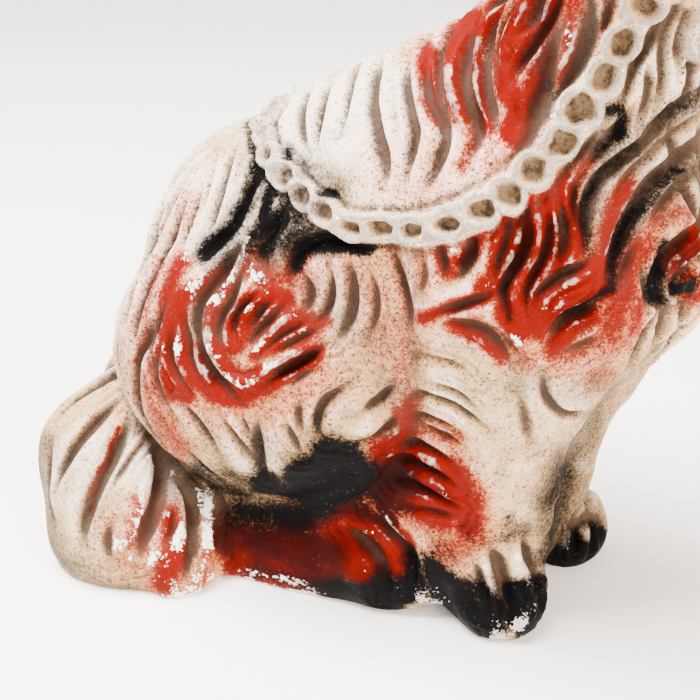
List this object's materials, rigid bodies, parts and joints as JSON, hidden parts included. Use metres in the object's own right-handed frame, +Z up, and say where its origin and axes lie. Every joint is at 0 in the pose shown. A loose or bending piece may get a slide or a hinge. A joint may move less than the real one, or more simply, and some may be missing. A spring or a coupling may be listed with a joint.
{
  "type": "dog figurine",
  "caption": "Seated spaniel mantel figurine in painted cast plaster: curled fan tail, carved fur locks, relief chain from collar over the back, head turned to its side.",
  "frame": {"origin": "centre of the figure's bounding box, on the flat underside that it stands on", "axes": "+X the way the body faces, +Y the dog's left, +Z up; the head and the tail turn to -Y"},
  "size_m": [0.293, 0.14, 0.3294],
  "materials": {
    "painted_plaster": "satin"
  },
  "bodies": {
    "root": {"spaniel_figure": "painted_plaster"}
  },
  "joints": []
}
